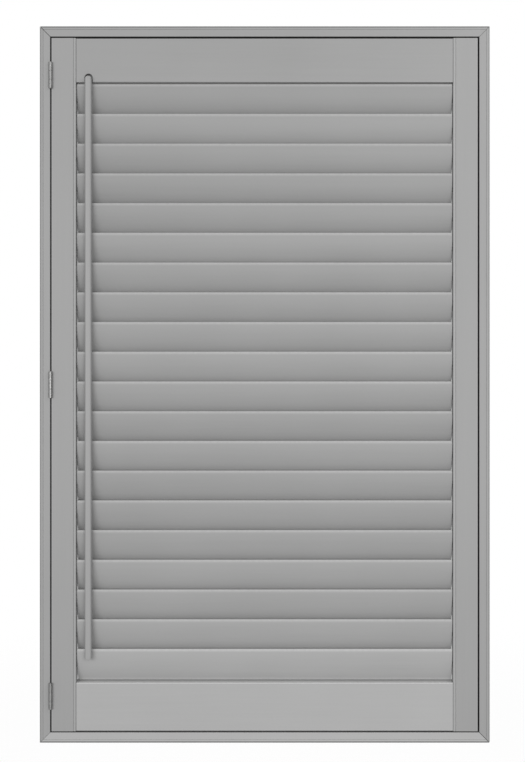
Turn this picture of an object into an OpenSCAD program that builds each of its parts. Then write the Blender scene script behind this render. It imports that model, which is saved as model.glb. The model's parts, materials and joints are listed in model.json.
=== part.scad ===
// Louvred window shutter: one side-hung panel of tilting louvres in a mitred frame.
// +X is to the right, -Y is the room side, +Z is up.
// The origin is the middle of the frame's underside. All sizes are millimetres.

/* [Louvres] */
// Number of louvres
louvre_count = 20; // [14:1:20]
// Width of a louvre, from nose to nose
louvre_w = 63.5; // [55:0.5:80]
// Thickness of a louvre at its middle
louvre_t = 11; // [9:0.5:13]
// Nose radius of a louvre
louvre_nose_r = 2; // [1.5:0.1:3]
// Height from one louvre axis to the next
louvre_pitch = 57; // [50:0.5:62]
// Lean of the louvres from upright at rest, tops towards the room
louvre_lean = 15; // [10:1:80]
// How much further the louvres can close from there, in degrees
louvre_close = 7; // [0:1:7]
// Free height left by an upright louvre at a rail
louvre_rail_gap = 1.5; // [1:0.5:6]
// Gap between a louvre's end and the stile
louvre_end_gap = 1.5; // [1.3:0.1:4]

/* [Panel] */
// Clear width between the stiles
open_w = 722; // [300:1:900]
// Width of a stile
stile_w = 47; // [40:1:80]
// Thickness of stiles and rails
panel_t = 27; // [24:1:34]
// Height of the top rail
top_rail_h = 83.5; // [60:0.5:160]
// Height of the bottom rail
bottom_rail_h = 92; // [60:0.5:180]
// How far a rail's outer edge stays inside the stile ends
rail_recess = 1.2; // [0:0.1:3]
// Width of the bead along a stile's inner edge
stile_bead_w = 4.5; // [4:0.5:10]
// Arris radius of stiles and rails
panel_arris_r = 1.2; // [0.4:0.1:2]
// Bevel at the rail ends, which shows as a fine V at each joint
rail_v = 0.5; // [0.2:0.1:1]
// Depth of the light stop strip behind the first and the last louvre
light_stop_t = 3; // [2:0.5:4]
// Clearance of a light stop from a turning louvre
light_stop_gap = 0.6; // [0.4:0.1:1.2]
// Dowel diameter in the rail joints
dowel_d = 10; // [6:1:12]
// Wood left between a dowel's end and the stile's outer edge
dowel_cover = 18; // [18:1:24]
// Outer dowel from the rail's outer edge
dowel_inset = 20; // [14:1:26]
// Wood left between the inner dowel and the notch for the tilt rod
dowel_wall = 3; // [2:0.5:6]

/* [Frame] */
// Width of the frame's face
frame_face = 20; // [16:1:40]
// Depth of the frame
frame_depth = 50; // [48:1:80]
// Width of the frame across its stop lip
frame_lip = 34; // [30:1:60]
// Room behind the panel, to the stop lip
panel_back_gap = 2; // [1:0.5:4]
// Width of the bead along the frame's outer edge
frame_bead_w = 6; // [4:0.5:9]
// Outer radius of that bead
frame_bead_r = 2.6; // [1:0.1:3]
// Width and depth of the fine grooves beside the beads
groove = 1; // [0.6:0.1:1.5]
// Gap between panel and frame on the hinge side
hinge_gap = 2.5; // [2.3:0.1:4]
// Gap on the latch side
latch_gap = 3; // [2:0.1:5]
// Gap above the panel
top_gap = 2.5; // [2:0.1:5]
// Gap below the panel
bottom_gap = 2; // [1.5:0.1:5]

/* [Hinges] */
// Height of a hinge
hinge_h = 50; // [40:1:90]
// Barrel diameter
barrel_d = 7; // [5:0.5:10]
// Pin diameter
hinge_pin_d = 3; // [2:0.1:4]
// Leaf thickness
leaf_t = 1; // [0.8:0.1:1.1]
// Leaf reach into the gap
leaf_reach = 22; // [16:1:26]
// Top hinge centre below the panel's top
hinge_top_inset = 72; // [50:1:200]
// Bottom hinge centre above the panel's bottom
hinge_bottom_inset = 68; // [50:1:200]
// Hinge screw shank diameter
hinge_screw_d = 3; // [2:0.1:4]
// Hinge screw head diameter
hinge_screw_head_d = 5.6; // [5:0.1:8]
// Hinge screw length
hinge_screw_len = 15; // [10:1:18]

/* [Tilt rod] */
// Width of the tilt rod
rod_w = 13; // [9:0.5:20]
// Depth of the tilt rod
rod_t = 12; // [8:0.5:18]
// Front corner radius of the tilt rod
rod_front_r = 4; // [1:0.5:4]
// Tilt rod centre from the left stile
rod_inset = 24; // [18:0.5:60]
// Rod above the top staple
rod_over = 8; // [7:0.5:12]
// Rod below the bottom staple
rod_under = 24.5; // [12:0.5:34]
// Wire diameter of the staples
wire_d = 1.2; // [1:0.1:1.4]
// Staple bar beyond a louvre's nose
staple_reach = 5; // [4.5:0.1:7]
// Width of a louvre staple, centre to centre of its legs
staple_span = 7; // [6:0.5:8]
// Depth a staple leg is driven
staple_drive = 7; // [5:0.5:8]
// Play between interlocked staples
staple_play = 0.3; // [0.2:0.05:0.4]
// Clearance round the rod in its notch
notch_gap = 1.25; // [0.8:0.05:3]
// Room above the rod in its notch
notch_over = 6; // [2:0.5:8]
// Clearance behind the staples in the notch
notch_back = 1; // [0.5:0.1:3]

/* [Small parts] */
// Louvre pin diameter in the louvre
pin_d = 4; // [3:0.1:5]
// Louvre pin diameter in the stile
pin_root_d = 5; // [4:0.1:6]
// Louvre pin length in the louvre
pin_len = 12; // [8:0.5:20]
// Louvre pin length in the stile
pin_root_len = 10; // [6:0.5:20]
// Washer collar diameter of a louvre pin
pin_collar_d = 9; // [7:0.5:12]
// Frame fixing holes in each side member
fixing_count = 4; // [2:1:4]
// Fixing hole diameter
fixing_d = 5; // [4:0.1:7]
// Countersink diameter of a fixing hole
fixing_head_d = 10; // [8:0.5:12]
// End fixing holes from the frame's ends
fixing_inset = 210; // [180:5:300]
// Magnet catch length
catch_l = 34; // [20:1:50]
// Magnet catch width
catch_w = 7; // [5:0.5:7.5]
// Magnet catch depth in the lip
catch_t = 10; // [6:0.5:14]
// Magnet catch from the panel's edge
catch_margin = 2; // [1.5:0.5:3]
// Strike plate thickness
strike_t = 1; // [0.5:0.1:2]
// Magnet catch centres from the frame's ends
catch_inset = 320; // [150:5:600]
// Mitre key length across the joint
key_l = 16; // [10:1:18]
// Wood left in front of a mitre key, behind the lip's front
key_cover = 3; // [2:0.5:8]

/* [Clearances] */
// Running fit on a pin, on the radius
run_fit = 0.05; // [0.02:0.01:0.1]
// Snug fit of pressed and driven pieces, on the radius
snug_fit = 0.02; // [0.01:0.01:0.05]
// Axial play between turning faces
face_play = 0.3; // [0.2:0.05:0.6]
// Hairline at the frame's mitres
mitre_gap = 0.2; // [0:0.05:0.5]

/* [Hidden] */
$fn = 48;

// Heights and widths
open_h = (louvre_count - 1) * louvre_pitch + louvre_w + 2 * louvre_rail_gap;
panel_w = open_w + 2 * stile_w;
panel_h = top_rail_h + bottom_rail_h + open_h + 2 * rail_recess;
frame_w = panel_w + hinge_gap + latch_gap + 2 * frame_face;
frame_h = panel_h + top_gap + bottom_gap + 2 * frame_face;

// Places of the panel and its opening
face_y = -frame_depth / 2;
panel_y = face_y + panel_t / 2;
panel_x = -frame_w / 2 + frame_face + hinge_gap;
panel_z = frame_face + bottom_gap;
open_x = panel_x + stile_w;
open_z = panel_z + rail_recess + bottom_rail_h;
top_rail_z = open_z + open_h;
lip_depth = panel_t + panel_back_gap;
// How far a cutting shape runs past what it cuts
fit_over = 1;

function louvre_z(n) = open_z + louvre_rail_gap + louvre_w / 2 + (louvre_count - n) * louvre_pitch;
function two_digits(n) = str(n < 10 ? "0" : "", n);

// Louvre section: two shallow arcs that run into round noses
louvre_len = open_w - 2 * louvre_end_gap;
nose_offset = louvre_w / 2 - louvre_nose_r;
belly_r = (nose_offset ^ 2 + louvre_t ^ 2 / 4 - louvre_nose_r ^ 2) / (louvre_t - 2 * louvre_nose_r);
belly_offset = belly_r - louvre_t / 2;
tangent_offset = nose_offset * belly_r / (belly_r - louvre_nose_r);
collar_t = louvre_end_gap - face_play;

// Tilt gear: a louvre staple's bar lies at bar_r from the louvre's axis, and the rod staple loops round it
bar_r = louvre_w / 2 + staple_reach;
bar_dy = -bar_r * sin(louvre_lean);
bar_dz = bar_r * cos(louvre_lean);
staple_bend_r = 1.2;
loop_r = wire_d + staple_play;
rod_back_dy = -(loop_r + wire_d / 2 + face_play);
rod_x = open_x + rod_inset;
rod_front_y = panel_y + bar_dy + rod_back_dy - rod_t;
rod_top = louvre_z(1) + bar_dz + rod_over;
rod_bottom = louvre_z(louvre_count) + bar_dz - rod_under;
rod_back_r = 1.2;
notch_top = rod_top + notch_over;
notch_depth = panel_t / 2 - bar_r * sin(louvre_lean - louvre_close) + loop_r + wire_d / 2 + notch_back;

// Hinges
barrel_r = barrel_d / 2;
barrel_proud = 0.2;
hinge_x = panel_x - hinge_gap / 2;
hinge_y = face_y - barrel_r - barrel_proud;
hinge_zs = [panel_z + hinge_bottom_inset, panel_z + panel_h / 2, panel_z + panel_h - hinge_top_inset];
knuckle_h = hinge_h / 3;
leaf_front = barrel_r + barrel_proud + face_play;
hinge_screw_step = hinge_h / 3;
hinge_screw_y = leaf_front + leaf_reach / 2;
hinge_screw_tip = 3;

// Fixings, catches, keys and dowels
fixing_step = (frame_h - 2 * fixing_inset) / (fixing_count - 1);
fixing_sink = (fixing_head_d - fixing_d) / 2;
catch_x = panel_x + panel_w - catch_margin - catch_w / 2;
catch_zs = [catch_inset, frame_h - catch_inset];
catch_front_y = face_y + panel_t + face_play;
lip_y = face_y + lip_depth;
key_h = frame_depth - lip_depth - key_cover;
key_waist = 4;
key_end = 8;
dowel_reach = stile_w - dowel_cover;
inner_dowel = notch_top - top_rail_z + dowel_wall + dowel_d / 2;
dowel_zs = [
    open_z - bottom_rail_h + dowel_inset, open_z - inner_dowel,
    top_rail_z + inner_dowel, top_rail_z + top_rail_h - dowel_inset
];
arris_r = 1;
bead_inner_r = 2;

// Light stops: from a louvre's axis back to a strip's front and out to its inner edge
light_stop_dy = panel_t / 2 - panel_arris_r - light_stop_t;
light_stop_dz = sqrt((louvre_w / 2 + light_stop_gap) ^ 2 - light_stop_dy ^ 2);
light_stop_h = louvre_rail_gap + louvre_w / 2 - light_stop_dz;
light_stop_bevel = 0.4;

// ---------------------------------------------------------------- shared shapes

// Cylinder along +X
module bar_x(d, h) {
    rotate([0, 90, 0]) cylinder(d = d, h = h);
}

// Extrudes a section drawn as y, z along +X
module extrude_x(h) {
    rotate([90, 0, 90]) linear_extrude(height = h) children();
}

// Extrudes an outline drawn as x, z along +Y
module extrude_y(h) {
    translate([0, h, 0]) rotate([90, 0, 0]) linear_extrude(height = h) children();
}

// What is cut from a square corner at the origin to leave a round of radius r
module corner_cut(r) {
    difference() {
        translate([-fit_over, -fit_over]) square(r + fit_over);
        translate([r, r]) circle(r = r);
    }
}

// Rectangle w by t; its corners at y = 0 have radii left and right, those at y = t have radius back
module eased_section(w, t, left, right, back) {
    difference() {
        square([w, t]);
        corner_cut(left);
        translate([w, 0]) mirror([1, 0]) corner_cut(right);
        translate([0, t]) mirror([0, 1]) corner_cut(back);
        translate([w, t]) rotate(180) corner_cut(back);
    }
}

// Arc of staple wire in the XY plane, starting on +X
module wire_arc(r, angle) {
    rotate_extrude(angle = angle) translate([r, 0]) circle(d = wire_d, $fn = 24);
}

// Countersunk wood screw along -Z, its flat head at z = 0, with a cross recess
module wood_screw(d, head_d, head_h, length) {
    recess_w = 0.6;
    difference() {
        union() {
            translate([0, 0, -head_h]) cylinder(d1 = d, d2 = head_d, h = head_h);
            translate([0, 0, hinge_screw_tip - length])
                cylinder(d = d, h = length - head_h - hinge_screw_tip);
            translate([0, 0, -length]) cylinder(d1 = recess_w, d2 = d, h = hinge_screw_tip);
        }
        for (turn = [0, 90])
            rotate(turn) cube([d, recess_w, 2 * recess_w], center = true);
    }
}

// ---------------------------------------------------------------- frame

// Section of a frame member: x from the outer edge inwards, y from the face to the back
module frame_section() {
    difference() {
        union() {
            square([frame_face, frame_depth]);
            translate([0, lip_depth]) square([frame_lip, frame_depth - lip_depth]);
        }
        corner_cut(frame_bead_r);
        translate([frame_bead_w, -fit_over]) square([groove, fit_over + groove]);
        translate([frame_face, 0]) mirror([1, 0]) corner_cut(arris_r);
        translate([frame_lip, lip_depth]) mirror([1, 0]) corner_cut(arris_r);
    }
}

// Member with its outer edge along +Z and mitred ends
module frame_member(length) {
    cut = mitre_gap / sqrt(2);
    intersection() {
        translate([0, face_y, 0]) linear_extrude(height = length) frame_section();
        translate([0, face_y - fit_over, 0]) extrude_y(frame_depth + 2 * fit_over)
            polygon([
                [-fit_over, cut - fit_over],
                [frame_lip + fit_over, frame_lip + fit_over + cut],
                [frame_lip + fit_over, length - frame_lip - fit_over - cut],
                [-fit_over, length - cut + fit_over]
            ]);
    }
}

// Outline of a mitre key, long along +X, grown all round by a clearance
module key_outline(grow) {
    l = key_l / 2 + grow;
    e = key_end / 2 + grow;
    w = key_waist / 2 + grow;
    polygon([[-l, -e], [0, -w], [l, -e], [l, e], [0, w], [-l, e]]);
}

// The four dovetail keys, driven into the frame's back across the mitres
module mitre_key_shapes(grow, over) {
    for (right = [0, 1], upper = [0, 1])
        mirror([right, 0, 0]) translate([0, 0, upper * frame_h]) mirror([0, 0, upper])
            translate([-frame_w / 2 + frame_lip / 2, -face_y - key_h - grow, frame_lip / 2])
                extrude_y(key_h + grow + over) rotate(-45) key_outline(grow);
}

// Fixing holes through the left member, countersunk on the side towards the panel
module fixing_holes() {
    for (i = [0:fixing_count - 1])
        translate([-frame_w / 2, panel_y, fixing_inset + i * fixing_step]) {
            translate([-fit_over, 0, 0]) bar_x(fixing_d, frame_face + 2 * fit_over);
            translate([frame_face - fixing_sink, 0, 0]) rotate([0, 90, 0])
                cylinder(d1 = fixing_d, d2 = fixing_head_d, h = fixing_sink);
        }
}

module frame_side() {
    difference() {
        translate([-frame_w / 2, 0, 0]) frame_member(frame_h);
        mitre_key_shapes(snug_fit, fit_over);
        fixing_holes();
    }
}

module frame_left() {
    color("#a0a0a0") difference() {
        frame_side();
        hinge_screw_holes(1);
    }
}

module frame_right() {
    color("#a0a0a0") difference() {
        mirror([1, 0, 0]) frame_side();
        magnet_blocks(snug_fit);
    }
}

module frame_bottom() {
    color("#a0a0a0") difference() {
        translate([frame_w / 2, 0, 0]) rotate([0, -90, 0]) frame_member(frame_w);
        mitre_key_shapes(snug_fit, fit_over);
    }
}

module frame_top() {
    color("#a0a0a0") difference() {
        translate([-frame_w / 2, 0, frame_h]) rotate([0, 90, 0]) frame_member(frame_w);
        mitre_key_shapes(snug_fit, fit_over);
    }
}

module mitre_keys() {
    color("#4a4a4a") mitre_key_shapes(0, 0);
}

// Magnet catches let into the stop lip on the latch side
module magnet_blocks(grow) {
    for (z = catch_zs)
        translate([catch_x - catch_w / 2 - grow, catch_front_y, z - catch_l / 2 - grow])
            cube([catch_w + 2 * grow, lip_y - catch_front_y + catch_t + grow, catch_l + 2 * grow]);
}

module magnet_catches() {
    color("#d8d8d8") magnet_blocks(0);
}

// ---------------------------------------------------------------- panel

// Left stile; its bead runs along the edge towards the louvres
module stile_blank() {
    translate([panel_x, face_y, panel_z]) linear_extrude(height = panel_h) difference() {
        eased_section(stile_w, panel_t, panel_arris_r, bead_inner_r, panel_arris_r);
        translate([stile_w - stile_bead_w - groove, -fit_over]) square([groove, fit_over + groove]);
    }
}

module stile_left() {
    color("#a4a4a4") difference() {
        stile_blank();
        pin_root_holes(open_x - pin_root_len - snug_fit);
        dowel_shapes(snug_fit);
        hinge_screw_holes(-1);
    }
}

module stile_right() {
    color("#a8a8a8") difference() {
        translate([2 * panel_x + panel_w, 0, 0]) mirror([1, 0, 0]) stile_blank();
        pin_root_holes(open_x + open_w - fit_over);
        dowel_shapes(snug_fit);
        strike_blocks(snug_fit, fit_over);
    }
}

// Holes for the pin roots, open towards the louvres
module pin_root_holes(x) {
    for (n = [1:louvre_count])
        translate([x, panel_y, louvre_z(n)])
            bar_x(pin_root_d + 2 * snug_fit, pin_root_len + fit_over + snug_fit);
}

// Rail of height h with its lower edge at z, eased along its edges and bevelled at its ends
module rail(z, h) {
    v = rail_v;
    intersection() {
        translate([open_x, face_y, z]) mirror([1, 0, 0]) rotate([0, -90, 0])
            linear_extrude(height = open_w)
                eased_section(h, panel_t, panel_arris_r, panel_arris_r, panel_arris_r);
        translate([open_x, face_y, z - fit_over]) linear_extrude(height = h + 2 * fit_over)
            polygon([
                [0, v], [v, 0], [open_w - v, 0], [open_w, v],
                [open_w, panel_t - v], [open_w - v, panel_t], [v, panel_t], [0, panel_t - v]
            ]);
    }
}

// Arched notch in the top rail's face that takes the top of the tilt rod
module rod_notch() {
    arch_r = rod_w / 2 + notch_gap;
    arch_z = notch_top - arch_r;
    translate([rod_x, face_y - fit_over, 0]) extrude_y(fit_over + notch_depth) {
        translate([0, arch_z]) circle(r = arch_r);
        translate([-arch_r, top_rail_z - fit_over]) square([2 * arch_r, arch_z - top_rail_z + fit_over]);
    }
}

module top_rail() {
    color("#a5a5a5") difference() {
        rail(top_rail_z, top_rail_h);
        dowel_shapes(snug_fit);
        rod_notch();
    }
}

module bottom_rail() {
    color("#adadad") difference() {
        rail(open_z - bottom_rail_h, bottom_rail_h);
        dowel_shapes(snug_fit);
    }
}

// Two dowels through each of the four rail joints, half in the rail and half in the stile
module dowel_shapes(grow) {
    for (x = [open_x, open_x + open_w], z = dowel_zs)
        translate([x - dowel_reach - grow, panel_y, z])
            bar_x(dowel_d + 2 * grow, 2 * (dowel_reach + grow));
}

// The rails' dowels, and the strips glued along the rails' inner edges, which close the view past
// the first and last louvre
module rail_dowels_and_stops() {
    color("#c9a878") {
        dowel_shapes(0);
        translate([0, 0, open_z]) light_stop();
        translate([0, 0, top_rail_z]) mirror([0, 0, 1]) light_stop();
    }
}

// One strip standing on z = 0, bevelled at its front and back edge
module light_stop() {
    translate([open_x + rail_v, panel_y + light_stop_dy, 0]) extrude_x(open_w - 2 * rail_v)
        polygon([
            [0, 0], [light_stop_t, 0], [light_stop_t, light_stop_h - light_stop_bevel],
            [light_stop_t - light_stop_bevel, light_stop_h], [light_stop_bevel, light_stop_h],
            [0, light_stop_h - light_stop_bevel]
        ]);
}

// Steel plates let flush into the back of the right stile, opposite the magnets
module strike_blocks(grow, over) {
    for (z = catch_zs)
        translate([catch_x - catch_w / 2 - grow, face_y + panel_t - strike_t, z - catch_l / 2 - grow])
            cube([catch_w + 2 * grow, strike_t + over, catch_l + 2 * grow]);
}

module strike_plates() {
    color("#c8c8c8") strike_blocks(0, 0);
}

// One pin at the left end of louvre n: root in the stile, washer collar, shank in the louvre
module louvre_pin(n) {
    translate([open_x, panel_y, louvre_z(n)]) {
        translate([-pin_root_len, 0, 0]) bar_x(pin_root_d, pin_root_len);
        bar_x(pin_collar_d, collar_t);
        bar_x(pin_d, louvre_end_gap + pin_len);
    }
}

module louvre_pins() {
    color("#3c3c3a") for (n = [1:louvre_count]) {
        louvre_pin(n);
        translate([2 * open_x + open_w, 0, 0]) mirror([1, 0, 0]) louvre_pin(n);
    }
}

// ---------------------------------------------------------------- louvres

// Louvre section drawn upright: x is thickness, y is width
module louvre_section() {
    intersection() {
        translate([belly_offset, 0]) circle(r = belly_r, $fn = 120);
        translate([-belly_offset, 0]) circle(r = belly_r, $fn = 120);
        square([2 * louvre_t, 2 * tangent_offset], center = true);
    }
    for (side = [-1, 1])
        translate([0, side * nose_offset]) circle(r = louvre_nose_r);
}

// Puts what is drawn upright about the louvre's axis at louvre n's place and lean
module at_louvre(n) {
    translate([0, panel_y, louvre_z(n)]) rotate([louvre_lean, 0, 0]) children();
}

module louvre(n) {
    color("#a2a2a2") at_louvre(n) difference() {
        translate([open_x + louvre_end_gap, 0, 0]) extrude_x(louvre_len) louvre_section();
        for (x = [open_x, open_x + open_w - louvre_end_gap - pin_len - fit_over])
            translate([x, 0, 0]) bar_x(pin_d + 2 * run_fit, louvre_end_gap + pin_len + fit_over);
        for (side = [-1, 1])
            translate([rod_x + side * staple_span / 2, 0, louvre_w / 2 - staple_drive - snug_fit])
                cylinder(d = wire_d + 2 * snug_fit, h = staple_drive + fit_over, $fn = 24);
    }
}

// U staple in the louvre's upper nose; its bar lies along +X
module louvre_staple(n) {
    leg = staple_drive + staple_reach - staple_bend_r;
    color("#9a9a9a") at_louvre(n) translate([rod_x, 0, bar_r]) {
        for (side = [0, 1])
            mirror([side, 0, 0]) translate([staple_span / 2 - staple_bend_r, 0, -staple_bend_r]) {
                rotate([90, 0, 0]) wire_arc(staple_bend_r, 90);
                translate([staple_bend_r, 0, -leg]) cylinder(d = wire_d, h = leg, $fn = 24);
            }
        translate([staple_bend_r - staple_span / 2, 0, 0]) rotate([0, 90, 0])
            cylinder(d = wire_d, h = staple_span - 2 * staple_bend_r, $fn = 24);
    }
}

// ---------------------------------------------------------------- tilt rod

// Legs of every rod staple, as holes when grown
module rod_staple_legs(grow) {
    reach = -rod_back_dy + staple_drive + grow;
    for (n = [1:louvre_count], side = [-1, 1])
        translate([rod_x, panel_y + bar_dy, louvre_z(n) + bar_dz + side * loop_r])
            rotate([90, 0, 0]) cylinder(d = wire_d + 2 * grow, h = reach, $fn = 24);
}

module tilt_rod() {
    length = rod_top - rod_bottom;
    color("#a6a6a6") difference() {
        intersection() {
            translate([rod_x - rod_w / 2, rod_front_y, rod_bottom]) linear_extrude(height = length)
                eased_section(rod_w, rod_t, rod_front_r, rod_front_r, rod_back_r);
            translate([rod_x, rod_front_y - fit_over, rod_bottom]) extrude_y(rod_t + 2 * fit_over) {
                for (z = [rod_w / 2, length - rod_w / 2])
                    translate([0, z]) circle(d = rod_w);
                translate([-rod_w / 2, rod_w / 2]) square([rod_w, length - rod_w]);
            }
        }
        rod_staple_legs(snug_fit);
    }
}

module rod_staples() {
    color("#9a9a9a") {
        rod_staple_legs(0);
        for (n = [1:louvre_count])
            translate([rod_x, panel_y + bar_dy, louvre_z(n) + bar_dz])
                rotate([90, 0, 90]) rotate(-90) wire_arc(loop_r, 180);
    }
}

// ---------------------------------------------------------------- hinges

// Places one set of hinge shapes at each hinge, about its pin axis
module at_hinges() {
    for (z = hinge_zs)
        translate([hinge_x, hinge_y, z]) children();
}

// Barrel knuckle from z0 to z1 with its tab back to the leaf, which lies x from the axis
module knuckle(z0, z1, x) {
    translate([0, 0, z0]) cylinder(d = barrel_d, h = z1 - z0);
    translate([x, 0, z0]) cube([leaf_t, leaf_front + fit_over, z1 - z0]);
}

// Screws of a leaf, heads towards +X
module leaf_screws() {
    for (row = [-1, 0, 1])
        translate([leaf_t - hinge_gap / 2, hinge_screw_y, row * hinge_screw_step]) rotate([0, 90, 0])
            wood_screw(hinge_screw_d, hinge_screw_head_d, leaf_t, hinge_screw_len);
}

// Holes for those screws
module leaf_screw_holes() {
    for (row = [-1, 0, 1])
        translate([leaf_t - hinge_gap / 2, hinge_screw_y, row * hinge_screw_step]) rotate([0, -90, 0]) {
            cylinder(d1 = hinge_screw_head_d + 2 * snug_fit, d2 = hinge_screw_d + 2 * snug_fit, h = leaf_t);
            cylinder(d = hinge_screw_d + 2 * snug_fit, h = hinge_screw_len + snug_fit);
        }
}

// The holes at all hinges: side 1 is the frame's, side -1 the panel's
module hinge_screw_holes(side) {
    at_hinges() mirror([side < 0 ? 1 : 0, 0, 0]) leaf_screw_holes();
}

module hinge_frame_leaves() {
    color("#b9b9b9") at_hinges() difference() {
        union() {
            translate([-hinge_gap / 2, leaf_front, -hinge_h / 2])
                cube([leaf_t, leaf_reach, hinge_h]);
            knuckle(-hinge_h / 2, -(knuckle_h + face_play) / 2, -hinge_gap / 2);
            knuckle((knuckle_h + face_play) / 2, hinge_h / 2, -hinge_gap / 2);
        }
        translate([0, 0, -hinge_h]) cylinder(d = hinge_pin_d + 2 * snug_fit, h = 2 * hinge_h);
        leaf_screw_holes();
    }
}

module hinge_panel_leaves() {
    color("#b9b9b9") at_hinges() difference() {
        union() {
            translate([hinge_gap / 2 - leaf_t, leaf_front, -hinge_h / 2])
                cube([leaf_t, leaf_reach, hinge_h]);
            knuckle((face_play - knuckle_h) / 2, (knuckle_h - face_play) / 2, hinge_gap / 2 - leaf_t);
        }
        translate([0, 0, -hinge_h]) cylinder(d = hinge_pin_d + 2 * run_fit, h = 2 * hinge_h);
        mirror([1, 0, 0]) leaf_screw_holes();
    }
}

// Hinge pins with a flat button at each end
module hinge_pins() {
    button_d = (barrel_d + hinge_pin_d) / 2;
    button_h = 1;
    color("#b9b9b9") at_hinges() {
        translate([0, 0, -hinge_h / 2]) cylinder(d = hinge_pin_d, h = hinge_h);
        for (side = [0, 1])
            mirror([0, 0, side]) translate([0, 0, hinge_h / 2])
                cylinder(d1 = button_d, d2 = hinge_pin_d, h = button_h);
    }
}

module hinge_frame_screws() {
    color("#c4c4c4") at_hinges() leaf_screws();
}

module hinge_panel_screws() {
    color("#c4c4c4") at_hinges() mirror([1, 0, 0]) leaf_screws();
}

// ---------------------------------------------------------------- nodes

frame_top();
frame_bottom();
frame_left();
frame_right();
mitre_keys();
stile_left();
stile_right();
top_rail();
bottom_rail();
rail_dowels_and_stops();
tilt_rod();
rod_staples();
louvre_pins();
hinge_frame_leaves();
hinge_panel_leaves();
hinge_pins();
hinge_frame_screws();
hinge_panel_screws();
magnet_catches();
strike_plates();
for (n = [1:louvre_count]) {
    louvre(n);
    louvre_staple(n);
}
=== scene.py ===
"""Looks of a louvred shutter panel that hangs in its mitred frame.

Everything is in metres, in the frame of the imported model: +X is to the right,
-Y is the room side and +Z is up. The painted members are built here with eased
arrises, beads and fine grooves. Hinges, pins and the small hidden fittings are
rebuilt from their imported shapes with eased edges, and the wire staples are shown
as packed.
"""

import json
import logging
import math
import random
from collections.abc import Callable, Sequence
from dataclasses import dataclass, field
from enum import Enum

import bmesh
import bpy
from mathutils import Matrix, Vector

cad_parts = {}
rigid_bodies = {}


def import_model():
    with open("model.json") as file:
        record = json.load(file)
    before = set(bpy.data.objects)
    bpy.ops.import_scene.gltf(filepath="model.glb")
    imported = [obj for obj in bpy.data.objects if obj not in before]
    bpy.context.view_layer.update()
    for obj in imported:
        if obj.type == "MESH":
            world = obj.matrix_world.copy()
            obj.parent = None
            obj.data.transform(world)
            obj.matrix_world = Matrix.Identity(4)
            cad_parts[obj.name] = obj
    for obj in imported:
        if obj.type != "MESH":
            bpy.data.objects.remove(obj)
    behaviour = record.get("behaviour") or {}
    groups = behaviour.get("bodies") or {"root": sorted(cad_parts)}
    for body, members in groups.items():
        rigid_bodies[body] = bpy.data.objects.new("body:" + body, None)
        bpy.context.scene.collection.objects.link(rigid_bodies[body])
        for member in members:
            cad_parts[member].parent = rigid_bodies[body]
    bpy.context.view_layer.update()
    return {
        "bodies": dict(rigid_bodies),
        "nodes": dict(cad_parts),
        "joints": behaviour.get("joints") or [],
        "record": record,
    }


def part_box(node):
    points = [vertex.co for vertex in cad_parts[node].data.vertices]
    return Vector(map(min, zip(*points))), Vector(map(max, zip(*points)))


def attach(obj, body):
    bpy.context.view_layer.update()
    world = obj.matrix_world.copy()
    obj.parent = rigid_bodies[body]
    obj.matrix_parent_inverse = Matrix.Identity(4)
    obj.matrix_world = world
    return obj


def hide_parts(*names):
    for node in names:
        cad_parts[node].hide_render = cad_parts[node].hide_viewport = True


LOG = logging.getLogger("shutter")
MM = 0.001
SEED = 20

# Each built mesh carries these two point attributes for its finish.
EDGE = "edge"  # above 0 a lighter place: an arris lightened as wear and painted highlight, a louvre nose as painted highlight, the bottom rail's ledge as painted light; below 0 a darker place: a groove darkened as dust and painted shade, the frame's bead and rebate as painted shade, a dark joint or stile end; 0 on a flat
BOARD = "board"  # one number for the whole piece of wood, 0 for the middle tone; on a louvre it also holds painted shade at the top of the stack and painted light at the bottom

WELD = 0.001 * MM  # corners this near to each other are one
FLAT_BELOW = math.radians(1)  # faces that meet at less are one flat
EASED_ABOVE = math.radians(30)  # packed faces that meet at more get an eased edge
SMOOTH_BELOW = math.radians(38)  # faces that meet at less are shaded as one
QUIRK_ROUND = 0.3 * MM  # the inner corners of a groove
LIP_ROUND = 0.35 * MM  # the outer corners of a groove

Place = Callable[[float, float, float], Vector]
Tone = tuple[float, float, float]


# ------------------------------------------------------------------ sections


def skin(made: bmesh.types.BMesh, loops: Sequence[Sequence[bmesh.types.BMVert]]) -> None:
    """Closes a stack of loops with walls between neighbours and a cap at either end.

    Args:
        made: The mesh that holds the loops' corners.
        loops: The loops, all with the same number of corners.
    """
    for lower, upper in zip(loops, loops[1:]):
        for index in range(len(lower)):
            after = (index + 1) % len(lower)
            made.faces.new((lower[index], lower[after], upper[after], upper[index]))
    made.faces.new(list(reversed(loops[0])))
    made.faces.new(loops[-1])


@dataclass(frozen=True)
class Corner:
    """A corner of a section, the radius that eases it, and its edge mark if that is its own."""

    x: float
    y: float
    radius: float = 0.0
    mark: float | None = None


@dataclass(frozen=True)
class RimPoint:
    """A point on a section's rim, with its edge mark."""

    x: float
    y: float
    mark: float = 0.0


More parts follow.
